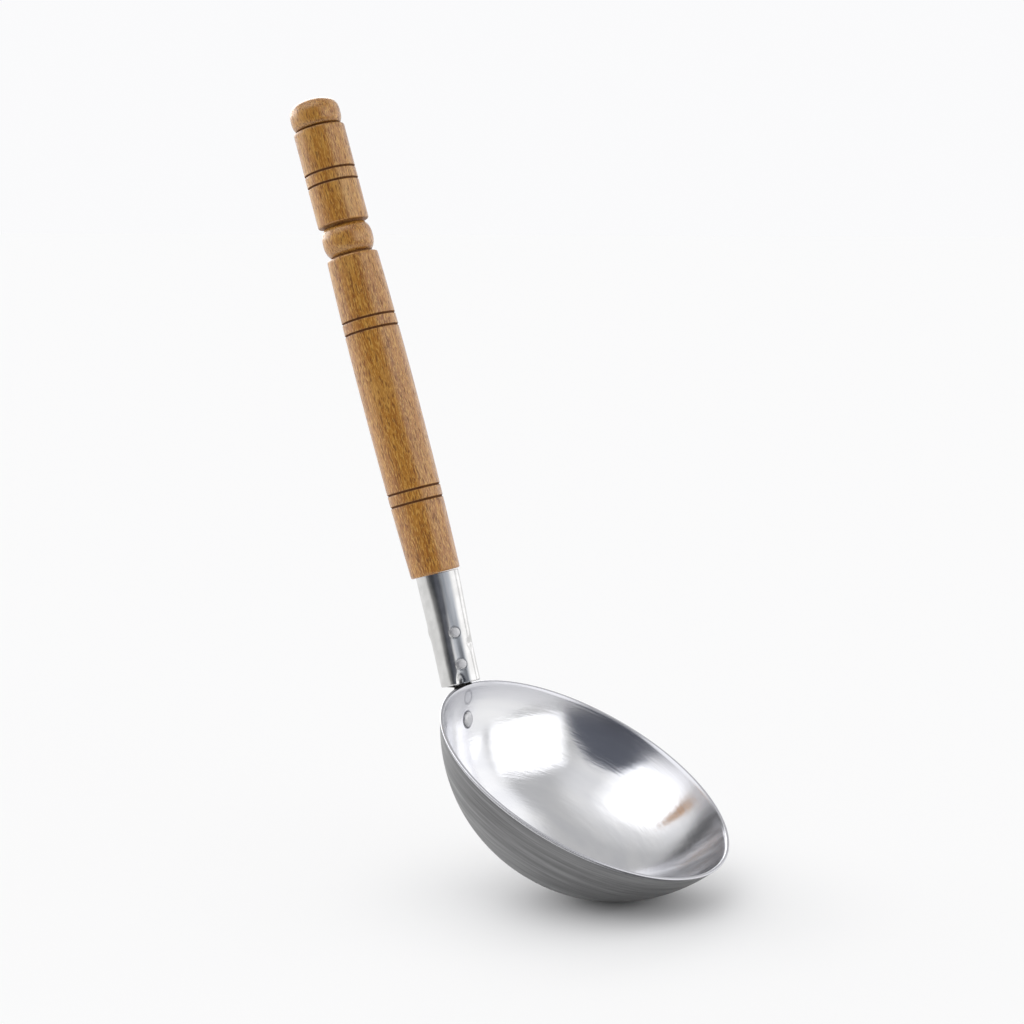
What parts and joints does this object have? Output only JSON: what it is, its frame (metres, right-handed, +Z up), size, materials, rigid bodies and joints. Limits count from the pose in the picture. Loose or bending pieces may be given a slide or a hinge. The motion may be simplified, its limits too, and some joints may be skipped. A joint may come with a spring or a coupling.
{
  "type": "soup ladle",
  "caption": "Deep round metal ladle bowl riveted to a socket tube that holds a long turned wooden handle with a knob end.",
  "frame": {"origin": "middle of the ladle's bounding box, at the height of the surface that the bowl touches", "axes": "+Z up in the pictured pose, the handle leans towards -X, and the middle plane is y = 0"},
  "size_m": [0.2392, 0.1598, 0.3945],
  "materials": {
    "bowl_metal": "polished inside, brushed outside",
    "tube_metal": "polished",
    "rivet_metal": "satin",
    "tang_metal": "raw",
    "handle_wood": "satin varnish"
  },
  "bodies": {
    "root": {"bowl": "bowl_metal", "wooden_handle": "handle_wood", "socket_tube": "tube_metal", "tang": "tang_metal", "tube_rivet_upper": "rivet_metal", "tube_rivet_lower": "rivet_metal", "bowl_rivet_upper": "rivet_metal", "bowl_rivet_lower": "rivet_metal"}
  },
  "joints": []
}
